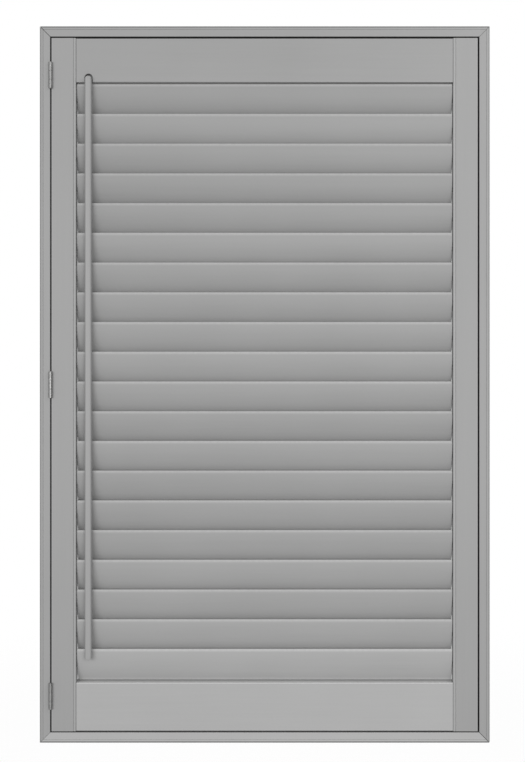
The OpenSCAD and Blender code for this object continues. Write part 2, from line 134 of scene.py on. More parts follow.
def eased_outline(
    corners: Sequence[Corner], steps: int = 5, support: float = 0.6 * MM
) -> list[RimPoint]:
    """Rounds the corners of a counter-clockwise section.

    Args:
        corners: The section's corners in order.
        steps: Straight pieces in each round.
        support: How far past a round a further point holds the flat.

    Returns:
        The rim's points in order.
    """
    rim: list[RimPoint] = []
    count = len(corners)
    for index, corner in enumerate(corners):
        here = Vector((corner.x, corner.y))
        before = corners[index - 1]
        after = corners[(index + 1) % count]
        to_before = Vector((before.x, before.y)) - here
        to_after = Vector((after.x, after.y)) - here
        way = math.copysign(1.0, to_after.cross(to_before))
        # An outer corner is marked +1 and lightened, as wear and painted highlight; an inner corner
        # -1 and darkened, as dust and painted shade.
        mark = way if corner.mark is None else corner.mark
        if corner.radius <= 0:
            rim.append(RimPoint(here.x, here.y, mark))
            continue
        half = to_before.angle(to_after) / 2
        tangent = corner.radius / math.tan(half)
        back = to_before.normalized()
        ahead = to_after.normalized()
        centre = here + (back + ahead).normalized() * corner.radius / math.sin(half)
        spoke = here + back * tangent - centre
        turn = way * (math.pi - 2 * half)
        if to_before.length - tangent > 4 * support:
            hold = here + back * (tangent + support)
            rim.append(RimPoint(hold.x, hold.y))
        for step in range(steps + 1):
            point = centre + Matrix.Rotation(turn * step / steps, 2) @ spoke
            rim.append(RimPoint(point.x, point.y, mark))
        if to_after.length - tangent > 4 * support:
            hold = here + ahead * (tangent + support)
            rim.append(RimPoint(hold.x, hold.y))
    return rim


def inward_normals(rim: Sequence[RimPoint]) -> list[Vector]:
    """Finds the direction in which each rim point moves when the section shrinks.

    Args:
        rim: The rim's points, counter-clockwise.

    Returns:
        One vector per point; moving all points by it insets the rim by one unit.
    """
    points = [Vector((p.x, p.y)) for p in rim]
    found: list[Vector] = []
    for index, point in enumerate(points):
        into = (point - points[index - 1]).normalized()
        out = (points[(index + 1) % len(points)] - point).normalized()
        first = Vector((-into.y, into.x))
        second = Vector((-out.y, out.x))
        found.append((first + second) / max(0.5, 1 + first.dot(second)))
    return found


@dataclass(frozen=True)
class EndCut:
    """How a bar's end is cut: its mitre slope, its hairline, its arris radius and edge mark."""

    slope: float = 0.0
    gap: float = 0.0
    ease: float = 0.3 * MM
    mark: float = 1.0


@dataclass(frozen=True)
class Bar:
    """A section swept straight from one end cut to another."""

    rim: Sequence[RimPoint]
    length: float
    start: EndCut = EndCut()
    end: EndCut = EndCut()
    steps: int = 3
    hold: float = 0.6 * MM

    def rings(self, cut: EndCut) -> list[tuple[float, float, bool]]:
        """Lists an end's rings from the cut inwards.

        Args:
            cut: The end's cut.

        Returns:
            For each ring its distance from the cut, its inset, and whether it is on the arris.
        """
        made = []
        for step in range(self.steps + 1):
            turn = math.pi / 2 * step / self.steps
            made.append((cut.ease * (1 - math.cos(turn)), cut.ease * (1 - math.sin(turn)), True))
        made.append((cut.ease + self.hold, 0.0, False))
        return made

    def mesh(self, place: Place) -> bmesh.types.BMesh:
        """Builds the closed bar.

        Args:
            place: Turns section x, section y and distance along the bar into a point.

        Returns:
            The bar's mesh, with its edge marks.
        """
        made = bmesh.new()
        marks = made.verts.layers.float.new(EDGE)
        inwards = inward_normals(self.rim)
        loops = []
        near = [(self.start, ring, 1.0) for ring in self.rings(self.start)]
        far = [(self.end, ring, -1.0) for ring in reversed(self.rings(self.end))]
        for cut, (distance, inset, on_arris), side in near + far:
            loop = []
            for point, inward in zip(self.rim, inwards):
                x = point.x + inward.x * inset
                y = point.y + inward.y * inset
                reach = cut.slope * x + cut.gap + distance
                along = reach if side > 0 else self.length - reach
                vertex = made.verts.new(place(x, y, along))
                vertex[marks] = cut.mark if on_arris else point.mark
                loop.append(vertex)
            loops.append(loop)
        skin(made, loops)
        bmesh.ops.recalc_face_normals(made, faces=made.faces)
        return made


def turned(
    profile: Sequence[tuple[float, float]], place: Place, sides: int = 40
) -> bmesh.types.BMesh:
    """Turns a profile about its axis, as on a lathe.

    Args:
        profile: Distance along the axis and radius of each point; flat discs close both ends.
        place: Turns two cross coordinates and the distance along the axis into a point.
        sides: How many flats the round has.

    Returns:
        The closed mesh.
    """
    made = bmesh.new()
    made.verts.layers.float.new(EDGE)
    loops = []
    for along, radius in profile:
        loop = []
        for side in range(sides):
            turn = 2 * math.pi * side / sides
            point = place(radius * math.cos(turn), radius * math.sin(turn), along)
            loop.append(made.verts.new(point))
        loops.append(loop)
    skin(made, loops)
    bmesh.ops.recalc_face_normals(made, faces=made.faces)
    return made


# ------------------------------------------------------------------ pieces


class Workshop:
    """Turns meshes into pieces, gives them their finish and hangs them on their bodies."""

    def __init__(self, frame: dict) -> None:
        """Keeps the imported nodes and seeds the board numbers.
        """
        self.nodes: dict[str, bpy.types.Object] = frame["nodes"]
        self.boards = random.Random(SEED)

    def object_from(self, name: str, made: bmesh.types.BMesh) -> bpy.types.Object:
        """Makes an object of a mesh and frees the mesh.

        Args:
            name: The object's name.
            made: Its mesh.

        Returns:
            The object, linked to the scene.
        """
        data = bpy.data.meshes.new(name)
        made.to_mesh(data)
        made.free()
        piece = bpy.data.objects.new(name, data)
        bpy.context.scene.collection.objects.link(piece)
        return piece

    def carve(self, piece: bpy.types.Object, cutter: bpy.types.Object) -> None:
        """Cuts one object out of another and removes the cutter.

        Args:
            piece: What is cut.
            cutter: The closed object that is taken away.
        """
        cut = piece.modifiers.new("carve", "BOOLEAN")
        cut.operation = "DIFFERENCE"
        cut.solver = "EXACT"
        cut.object = cutter
        graph = bpy.context.evaluated_depsgraph_get()
        data = bpy.data.meshes.new_from_object(piece.evaluated_get(graph))
        piece.modifiers.clear()
        piece.data = data
        bpy.data.objects.remove(cutter)

    def pocket(self, piece: bpy.types.Object, node: str, fit: float = 0.08 * MM) -> None:
        """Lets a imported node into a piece, with a hairline all round.

        Args:
            piece: The piece of wood.
            node: The node that sits in it.
            fit: The hairline's width.
        """
        made = bmesh.new()
        made.from_mesh(self.nodes[node].data)
        bmesh.ops.remove_doubles(made, verts=made.verts, dist=WELD)
        made.normal_update()
        grown = [v.co + v.normal * v.calc_shell_factor() * fit for v in made.verts]
        for vertex, place in zip(made.verts, grown):
            vertex.co = place
        self.carve(piece, self.object_from(node + "_pocket", made))

    def finish(
        self,
        piece: bpy.types.Object,
        coat: "Finish",
        body: str,
        slot: str,
        nodes: Sequence[str],
        lift: float = 0.0,
    ) -> bpy.types.Object:
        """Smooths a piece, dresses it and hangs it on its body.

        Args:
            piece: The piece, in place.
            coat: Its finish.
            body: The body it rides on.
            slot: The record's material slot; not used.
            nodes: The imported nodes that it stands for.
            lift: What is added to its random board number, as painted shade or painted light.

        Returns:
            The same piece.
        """
        data = piece.data
        board = data.attributes.new(BOARD, "FLOAT", "POINT")
        number = self.boards.uniform(-1, 1) + lift
        board.data.foreach_set("value", [number] * len(data.vertices))
        data.shade_smooth()
        data.set_sharp_from_angle(angle=SMOOTH_BELOW)
        normals = piece.modifiers.new("normals", "WEIGHTED_NORMAL")
        normals.keep_sharp = True
        data.materials.clear()
        data.materials.append(coat.material())
        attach(piece, body)
        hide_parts(*nodes)
        LOG.info("%s: %d faces on %s", piece.name, len(data.polygons), body)
        return piece

    def eased(
        self,
        node: str,
        radius: float,
        name: str = "",
        keeps: Callable[[Vector], bool] | None = None,
    ) -> bpy.types.Object:
        """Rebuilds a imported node's shape, or some of its solids, with the sharp edges eased.

        Args:
            node: The node's name.
            radius: How wide each eased edge is.
            name: The piece's name, if it isn't the node's.
            keeps: Tells from a corner whether its solid belongs to the piece; all do without it.

        Returns:
            The piece, in place and not yet finished.
        """
        made = bmesh.new()
        made.from_mesh(self.nodes[node].data)
        if keeps is not None:
            others = [v for v in made.verts if not keeps(v.co)]
            bmesh.ops.delete(made, geom=others, context="VERTS")
        bmesh.ops.remove_doubles(made, verts=made.verts, dist=WELD)
        bmesh.ops.dissolve_limit(
            made, angle_limit=FLAT_BELOW, verts=made.verts, edges=made.edges
        )
        sharp = [e for e in made.edges if e.is_manifold and e.calc_face_angle(0.0) > EASED_ABOVE]
        bmesh.ops.bevel(
            made,
            geom=sharp,
            offset=radius,
            segments=2,
            profile=0.5,
            affect="EDGES",
            clamp_overlap=True,
        )
        made.verts.layers.float.new(EDGE)
        return self.object_from((name or node) + "_made", made)

    def softened(
        self, node: str, radius: float, coat: "Finish", body: str, slot: str
    ) -> bpy.types.Object:
        """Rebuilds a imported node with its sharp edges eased, and finishes it.

        Args:
            node: The node's name.
            radius: How wide each eased edge is.
            coat: The finish.
            body: The body it rides on.
            slot: The record's material slot.

        Returns:
            The piece, in place.
        """
        return self.finish(self.eased(node, radius), coat, body, slot, [node])

    def dress(self, node: str, coat: "Finish") -> None:
        """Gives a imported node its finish.

        Args:
            node: The node's name.
            coat: The finish.
        """
        shown = self.nodes[node]
        for index in range(len(shown.material_slots)):
            shown.material_slots[index].link = "OBJECT"
            shown.material_slots[index].material = coat.material()
        LOG.info("%s: shown as packed, in %s", node, coat.name)


# ------------------------------------------------------------------ finishes


class Along(Enum):
    """The way that a board's grain and brush marks run."""

    X = (1, 0, 0)
    Z = (0, 0, 1)

    def stretch(self, along: float, across: float) -> tuple[float, float, float]:
        """Scales a pattern to `along` per metre with the grain and `across` per metre over it."""
        return tuple(along if way else across for way in self.value)


class Board:
    """A material's node tree, with short ways to add and join nodes."""

    def __init__(self, name: str) -> None:
        """Starts a material with one Principled shader.

        Args:
            name: The material's name.
        """
        self.material = bpy.data.materials.new(name)
        self.material.use_nodes = True
        self.tree = self.material.node_tree
        self.shader = self.tree.nodes["Principled BSDF"]

    def add(self, kind: str, inputs: dict | None = None, **settings: object) -> bpy.types.Node:
        """Adds a node, sets its fields and fills its inputs.

        Args:
            kind: The node's type, without "ShaderNode".
            inputs: For each input its value or the output that feeds it.
            settings: The node's own fields.

        Returns:
            The node.
        """
        node = self.tree.nodes.new("ShaderNode" + kind)
        for key, value in settings.items():
            setattr(node, key, value)
        for key, value in (inputs or {}).items():
            self.feed(node.inputs[key], value)
        return node

    def feed(self, socket: bpy.types.NodeSocket, value: object) -> None:
        """Links an output to a socket, or sets the socket's own value.

        Args:
            socket: The input.
            value: What it gets.
        """
        if isinstance(value, bpy.types.NodeSocket):
            self.tree.links.new(value, socket)
        else:
            socket.default_value = value

    def math(self, operation: str, first: object, second: object = 0.0) -> bpy.types.NodeSocket:
        """Adds a Math node and returns its output."""
        return self.add("Math", {0: first, 1: second}, operation=operation).outputs[0]

    def plus(self, first: object, factor: float, base: object) -> bpy.types.NodeSocket:
        """Adds `factor` times the first value to the base and returns the sum."""
        inputs = {0: first, 1: factor, 2: base}
        return self.add("Math", inputs, operation="MULTIPLY_ADD").outputs[0]

    def colour(self, tone: Tone, level: bpy.types.NodeSocket) -> None:
        """Gives the shader a tone whose brightness follows a level about 1."""
        scaled = self.add("VectorMath", {0: tone, "Scale": level}, operation="SCALE")
        self.feed(self.shader.inputs["Base Color"], scaled.outputs[0])

    def noise(
        self, scale: Sequence[float], detail: float = 2.0, rough: float = 0.5, bend: float = 0.0
    ) -> bpy.types.NodeSocket:
        """Adds noise in the piece's own coordinates.

        Args:
            scale: Cells per metre along x, y and z.
            detail: How many finer layers it has.
            rough: How strong those are.
            bend: How far it is distorted.

        Returns:
            The noise, from 0 to 1 with its middle near 0.5.
        """
        coordinates = self.add("TexCoord").outputs["Object"]
        scaled = self.add("Mapping", {"Vector": coordinates, "Scale": tuple(scale)})
        made = self.add(
            "TexNoise",
            {
                "Vector": scaled.outputs[0],
                "Scale": 1.0,
                "Detail": detail,
                "Roughness": rough,
                "Distortion": bend,
            },
        )
        return made.outputs[0]

    def attribute(self, name: str) -> bpy.types.NodeSocket:
        """Reads one of the mesh's own numbers."""
        return self.add("Attribute", attribute_name=name).outputs["Fac"]

    def swing(self, parts: Sequence[tuple[object, float]]) -> bpy.types.NodeSocket:
        """Adds up patterns about their middles.

        Args:
            parts: Each pattern, from 0 to 1, with the height of its swing.

        Returns:
            The sum, whose middle is 0.
        """
        total: object = 0.0
        for pattern, height in parts:
            total = self.plus(self.math("SUBTRACT", pattern, 0.5), height, total)
        return total

    def bump(self, layers: Sequence[tuple[object, float, float]]) -> None:
        """Stacks bump layers on the shader.

        Args:
            layers: Each layer's pattern, strength and height in metres.
        """
        normal: bpy.types.NodeSocket | None = None
        for pattern, strength, height in layers:
            made = self.add("Bump", {"Height": pattern, "Strength": strength, "Distance": height})
            if normal is not None:
                self.feed(made.inputs["Normal"], normal)
            normal = made.outputs[0]
        if normal is not None:
            self.feed(self.shader.inputs["Normal"], normal)


@dataclass(frozen=True)
class Finish:
    """A finish by name; each kind builds its own material once."""

    name: str

    def material(self) -> bpy.types.Material:
        """Builds the finish's material at its first use.

        Returns:
            The material, the same one each time.
        """
        found = bpy.data.materials.get(self.name)
        if found is None:
            board = Board(self.name)
            self.build(board)
            found = board.material
        return found

    def build(self, board: Board) -> None:
        """Builds the material's nodes; each kind of finish has its own."""
        raise NotImplementedError


@dataclass(frozen=True)
class Paint(Finish):
    """Brushed eggshell paint on planed wood; patterns are in cells per metre."""

    along: Along = Along.Z
    tone: Tone = (0.357, 0.357, 0.356)
    roughness: float = 0.44
    gloss: float = 0.42
    stroke_cells: tuple[float, float] = (9, 620)
    grain_cells: tuple[float, float] = (2.2, 95)
    cloud_cells: float = 5
    peel_cells: float = 760
    fleck_cells: float = 210
    wear_span: tuple[float, float] = (0.35, 0.65)
    least_wear: float = 0.7
    board_swing: float = 0.035
    cloud_swing: float = 0.10
    stroke_swing: float = 0.06
    grain_swing: float = 0.05
    fleck_swing: float = 0.02
    # A marked arris is lightened as wear and painted highlight, a marked crease darkened as dust
    # and painted shade.
    arris_wear_and_highlight: float = 0.20
    crease_dust_and_shade: float = 0.10
    crease_matt: float = 0.2

    def build(self, board: Board) -> None:
        """Lays strokes, faint grain and clouding, darkens creases as dust and painted shade and
        lightens arrises as wear and painted highlight.

        Args:
            board: The material's nodes.
        """
        stroke = board.noise(self.along.stretch(*self.stroke_cells), detail=3, rough=0.6)
        grain = board.noise(
            self.along.stretch(*self.grain_cells), detail=4, rough=0.55, bend=0.6
        )
        cloud = board.noise([self.cloud_cells] * 3, detail=2)
        peel = board.noise([self.peel_cells] * 3, detail=1)
        fleck = board.noise([self.fleck_cells] * 3, detail=3, rough=0.7)
        edge = board.attribute(EDGE)
        arris = board.math("MAXIMUM", edge, 0.0)
        crease = board.math("MAXIMUM", board.math("MULTIPLY", edge, -1.0), 0.0)
        least, most = self.wear_span
        span = {"Value": fleck, "From Min": least, "From Max": most, "To Min": self.least_wear}
        broken = board.add("MapRange", span).outputs[0]
        swing = board.swing(
            [
                (cloud, self.cloud_swing),
                (stroke, self.stroke_swing),
                (grain, self.grain_swing),
                (fleck, self.fleck_swing),
            ]
        )
        own = board.math("MULTIPLY", board.attribute(BOARD), self.board_swing)
        level = board.math("ADD", board.math("ADD", swing, own), 1.0)
        # Arrises lightened for wear double as a painted highlight; creases darkened for dust double
        # as painted shade.
        worn_and_highlit = board.math("MULTIPLY", arris, broken)
        lit = board.plus(worn_and_highlit, self.arris_wear_and_highlight, level)
        dusted_and_shaded = board.plus(crease, -self.crease_dust_and_shade, lit)
        board.colour(self.tone, dusted_and_shaded)
        sheen_change = board.swing([(stroke, 0.16), (cloud, 0.08), (fleck, 0.06)])
        rough = board.math("ADD", sheen_change, self.roughness)
        board.feed(board.shader.inputs["Roughness"], board.plus(crease, self.crease_matt, rough))
        board.shader.inputs["Specular IOR Level"].default_value = self.gloss
        board.bump([(grain, 0.5, 0.10 * MM), (stroke, 0.45, 0.05 * MM), (peel, 0.3, 0.03 * MM)])


@dataclass(frozen=True)
class Metal(Finish):
    """Metal with fine drawn or brushed lines."""

    tone: Tone = (0.62, 0.61, 0.60)
    roughness: float = 0.3
    lines: tuple[float, float, float] = (900, 900, 40)
    spot_cells: float = 300
    stain: float = 0.12

    def build(self, board: Board) -> None:
        """Lays drawn lines and faint tarnish.

        Args:
            board: The material's nodes.
        """
        line = board.noise(self.lines, detail=2, rough=0.6)
        spot = board.noise([self.spot_cells] * 3, detail=3, rough=0.65)
        level = board.math("ADD", board.swing([(spot, 2 * self.stain), (line, 0.10)]), 1.0)
        board.colour(self.tone, level)
        rough = board.math("ADD", board.swing([(line, 0.18), (spot, 0.22)]), self.roughness)
        board.feed(board.shader.inputs["Roughness"], rough)
        board.shader.inputs["Metallic"].default_value = 1.0
        board.bump([(line, 0.35, 0.02 * MM), (spot, 0.15, 0.02 * MM)])


@dataclass(frozen=True)
class Plastic(Finish):
    """Moulded plastic with a fine spark-eroded grain."""

    tone: Tone = (0.8, 0.8, 0.78)
    roughness: float = 0.42
    pit_cells: float = 1500
    flow_cells: tuple[float, float, float] = (60, 60, 240)

    def build(self, board: Board) -> None:
        """Lays mould grain, faint flow marks and handling dirt.

        Args:
            board: The material's nodes.
        """
        pit = board.noise([self.pit_cells] * 3, detail=2)
        flow = board.noise(self.flow_cells, detail=2)
        level = board.math("ADD", board.swing([(flow, 0.10), (pit, 0.05)]), 1.0)
        board.colour(self.tone, level)
        rough = board.math("ADD", board.swing([(flow, 0.12), (pit, 0.10)]), self.roughness)
        board.feed(board.shader.inputs["Roughness"], rough)
        board.bump([(pit, 0.4, 0.03 * MM)])


@dataclass(frozen=True)
class BareWood(Finish):
    """Bare beech, as turned dowels are."""

    light: Tone = (0.60, 0.41, 0.23)
    dark: Tone = (0.38, 0.22, 0.11)
    roughness: float = 0.62
    grain_cells: tuple[float, float, float] = (14, 420, 420)
    fleck_cells: tuple[float, float, float] = (90, 900, 900)

    def build(self, board: Board) -> None:
        """Lays long grain and short flecks.

        Args:
            board: The material's nodes.
        """
        grain = board.noise(self.grain_cells, detail=4, rough=0.6, bend=0.4)
        fleck = board.noise(self.fleck_cells, detail=2)
        share = board.math("ADD", board.swing([(grain, 1.4), (fleck, 0.5)]), 0.4)
        colour = board.add(
            "Mix", {"Factor": share, "A": (*self.light, 1), "B": (*self.dark, 1)}, data_type="RGBA"
        )
        board.feed(board.shader.inputs["Base Color"], colour.outputs["Result"])
        rough = board.math("ADD", board.swing([(grain, 0.2)]), self.roughness)
        board.feed(board.shader.inputs["Roughness"], rough)
        board.bump([(grain, 0.6, 0.08 * MM)])


# One grey paint; the bottom members and the last louvre take lighter copies of it as painted light.
UPRIGHT_PAINT = Paint("upright_paint", along=Along.Z, tone=(0.332, 0.332, 0.331))
LEVEL_PAINT = Paint("level_paint", along=Along.X, tone=(0.330, 0.330, 0.329))
LIT_LOW_LEVEL_PAINT = Paint("lit_low_level_paint", along=Along.X, tone=(0.435, 0.435, 0.434))
LOUVRE_PAINT = Paint("louvre_paint_coat", along=Along.X, board_swing=0.04)
LIT_LOW_LOUVRE_PAINT = Paint("lit_low_louvre_paint", along=Along.X, tone=(0.405, 0.405, 0.404))
ROD_PAINT = Paint("rod_paint_coat", along=Along.Z, roughness=0.4)
HINGE_STEEL = Metal("hinge_steel", tone=(0.30, 0.30, 0.297), roughness=0.42)
PIN_STEEL = Metal("hinge_pin_steel", tone=(0.36, 0.36, 0.355), roughness=0.40)
SCREW_STEEL = Metal("screw_steel", tone=(0.55, 0.54, 0.52), roughness=0.34, lines=(600, 600, 600))
STAPLE_STEEL = Metal("staple_steel", tone=(0.50, 0.50, 0.49), roughness=0.38, lines=(500, 500, 500))
STRIKE_STEEL = Metal("strike_steel_sheet", tone=(0.60, 0.60, 0.60), roughness=0.36)
PIN_NYLON = Plastic("pin_nylon_moulded", tone=(0.045, 0.045, 0.043), roughness=0.5)
CATCH_PLASTIC = Plastic("catch_plastic", tone=(0.70, 0.70, 0.68), roughness=0.38)
KEY_PLASTIC = Plastic("key_plastic_moulded", tone=(0.07, 0.07, 0.072), roughness=0.5)
DOWEL_WOOD = BareWood("dowel_beech")


# ------------------------------------------------------------------ outer frame


class Side(Enum):
    """The four members of the frame."""

    LEFT = "frame_left"
    RIGHT = "frame_right"
    BOTTOM = "frame_bottom"
    TOP = "frame_top"


@dataclass(frozen=True)
class MemberLook:
    """How open a member's mitres are, the painted shade on its outer bead and the painted shade in
    its rebate.
    """

    start_hairline: float
    end_hairline: float
    bead_shade: float
    rebate_shade: float


@dataclass
class OuterFrame:
    """The mitred frame: four members with a bead, a stop lip and fixing holes."""

    shop: Workshop
    face: float = 20 * MM
    lip: float = 34 * MM
    lip_depth: float = 29 * MM
    bead: float = 6 * MM
    bead_radius: float = 2.6 * MM
    groove: float = 1 * MM
    arris: float = 1 * MM
    back_arris: float = 0.8 * MM
    fixing_count: int = 4
    fixing_inset: float = 210 * MM
    fixing_radius: float = 2.5 * MM
    sink_radius: float = 5 * MM
    rebate_round: float = 0.4 * MM
    key_ease: float = 0.25 * MM
    catch_ease: float = 0.5 * MM
    open_mitre: float = 0.50 * MM
    tight_mitre: float = 0.18 * MM
    mitre_ease: float = 0.12 * MM
    mitre_mark: float = -3.0
    # The rebate's wall is painted dark from a little way in: painted shade that makes the gap read
    # black, weaker on the bottom member.
    rebate_shade_from: float = 2.6 * MM
    rebate_shade_mark: float = -9.3
    thin_rebate_shade_mark: float = -2.5
    low: Vector = field(init=False)
    high: Vector = field(init=False)

    def __post_init__(self) -> None:
        """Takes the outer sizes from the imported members."""
        left_low, left_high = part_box(Side.LEFT.value)
        _, right_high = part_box(Side.RIGHT.value)
        _, top_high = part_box(Side.TOP.value)
        bottom_low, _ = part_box(Side.BOTTOM.value)
        self.low = Vector((left_low.x, left_low.y, bottom_low.z))
        self.high = Vector((right_high.x, left_high.y, top_high.z))

    def look(self, side: Side) -> MemberLook:
        """Tells how a member looks: the mitres at the top left and bottom right have opened, and
        its bead and rebate carry painted shade.

        Args:
            side: The member.

        Returns:
            Its look, with the joint at its start or end opened.
        """
        at_start = (self.open_mitre, self.tight_mitre)
        at_end = (self.tight_mitre, self.open_mitre)
        deep_shade = self.rebate_shade_mark
        # Painted shade on the outer bead, strongest on the bottom and top members, and dark paint
        # in the rebate as painted shade.
        looks = {
            Side.LEFT: MemberLook(*at_end, bead_shade=-2.0, rebate_shade=deep_shade),
            Side.RIGHT: MemberLook(*at_start, bead_shade=-0.8, rebate_shade=deep_shade),
            Side.BOTTOM: MemberLook(*at_end, bead_shade=-5.6, rebate_shade=self.thin_rebate_shade_mark),
            Side.TOP: MemberLook(*at_start, bead_shade=-4.0, rebate_shade=deep_shade),
        }
        return looks[side]

    def section(self, look: MemberLook) -> list[RimPoint]:
        """Draws a member's section: x from the outer edge inwards, y from the face back.

        The rebate's wall is painted dark from a little way in, as painted shade, and the outer bead
        carries painted shade.

        Args:
            look: The member's look.

        Returns:
            The rim's points.
        """
        depth = self.high.y - self.low.y
        return eased_outline(
            [
                Corner(0, 0, self.bead_radius, look.bead_shade),
                Corner(self.bead, 0, LIP_ROUND),
                Corner(self.bead, self.groove, QUIRK_ROUND),
                Corner(self.bead + self.groove, self.groove, QUIRK_ROUND),
                Corner(self.bead + self.groove, 0, LIP_ROUND),
                Corner(self.face, 0, self.arris, 0.0),
                Corner(self.face, self.rebate_shade_from, 0, look.rebate_shade),
                Corner(self.face, self.lip_depth, self.rebate_round, look.rebate_shade),
                Corner(self.lip, self.lip_depth, self.arris),
                Corner(self.lip, depth, self.back_arris),
                Corner(0, depth, self.back_arris),
            ]
        )

    def placer(self, side: Side) -> Place:
        """Says where a side's section coordinates lie.

        Args:
            side: The member.

        Returns:
            The function that places its points.
        """
        low, high = self.low, self.high
        places: dict[Side, Place] = {
            Side.LEFT: lambda x, y, t: Vector((low.x + x, low.y + y, low.z + t)),
            Side.RIGHT: lambda x, y, t: Vector((high.x - x, low.y + y, low.z + t)),
            Side.BOTTOM: lambda x, y, t: Vector((low.x + t, low.y + y, low.z + x)),
            Side.TOP: lambda x, y, t: Vector((low.x + t, low.y + y, high.z - x)),
        }
        return places[side]

    def member(self, side: Side) -> bpy.types.Object:
        """Builds one member.

        Args:
            side: The member.

        Returns:
            The piece, in place.
        """
        upright = side in (Side.LEFT, Side.RIGHT)
        length = (self.high - self.low).z if upright else (self.high - self.low).x
        look = self.look(side)
        start, end = (
            EndCut(1.0, hairline, self.mitre_ease, self.mitre_mark)
            for hairline in (look.start_hairline, look.end_hairline)
        )
        bar = Bar(self.section(look), length, start, end, steps=2)
        piece = self.shop.object_from(side.value + "_painted", bar.mesh(self.placer(side)))
        self.shop.pocket(piece, "mitre_keys")
        if upright:
            self.drill(piece, side)
        if side is Side.RIGHT:
            self.shop.pocket(piece, "magnet_catches")
        # The bottom member takes the lighter coat as painted light.
        coat = UPRIGHT_PAINT
        if not upright:
            coat = LEVEL_PAINT if side is Side.TOP else LIT_LOW_LEVEL_PAINT
        return self.shop.finish(piece, coat, "frame", "frame_paint", [side.value])

    def drill(self, piece: bpy.types.Object, side: Side) -> None:
        """Drills and countersinks the fixing holes of an upright member.

        Args:
            piece: The member.
            side: Which one it is.
        """
        stile_low, stile_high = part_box("stile_left")
        middle = (stile_low.y + stile_high.y) / 2
        sink = self.sink_radius - self.fixing_radius
        over = 0.5 * MM
        profile = [
            (-over, self.fixing_radius),
            (self.face - sink, self.fixing_radius),
            (self.face, self.sink_radius),
            (self.face + over, self.sink_radius),
        ]
        step = (self.high.z - self.low.z - 2 * self.fixing_inset) / (self.fixing_count - 1)
        outer = self.low.x if side is Side.LEFT else self.high.x
        way = 1 if side is Side.LEFT else -1
        for index in range(self.fixing_count):
            height = self.low.z + self.fixing_inset + index * step
            drill = turned(
                profile, lambda a, b, t: Vector((outer + way * t, middle + a, height + b))
            )
            self.shop.carve(piece, self.shop.object_from("drill", drill))

    def build(self) -> None:
        """Builds the four members, their keys and the magnet catches."""
        for side in Side:
            self.member(side)
        self.shop.softened("mitre_keys", self.key_ease, KEY_PLASTIC, "frame", "key_plastic")
        self.shop.softened(
            "magnet_catches", self.catch_ease, CATCH_PLASTIC, "frame", "magnet_case"
        )


# ------------------------------------------------------------------ hinged panel


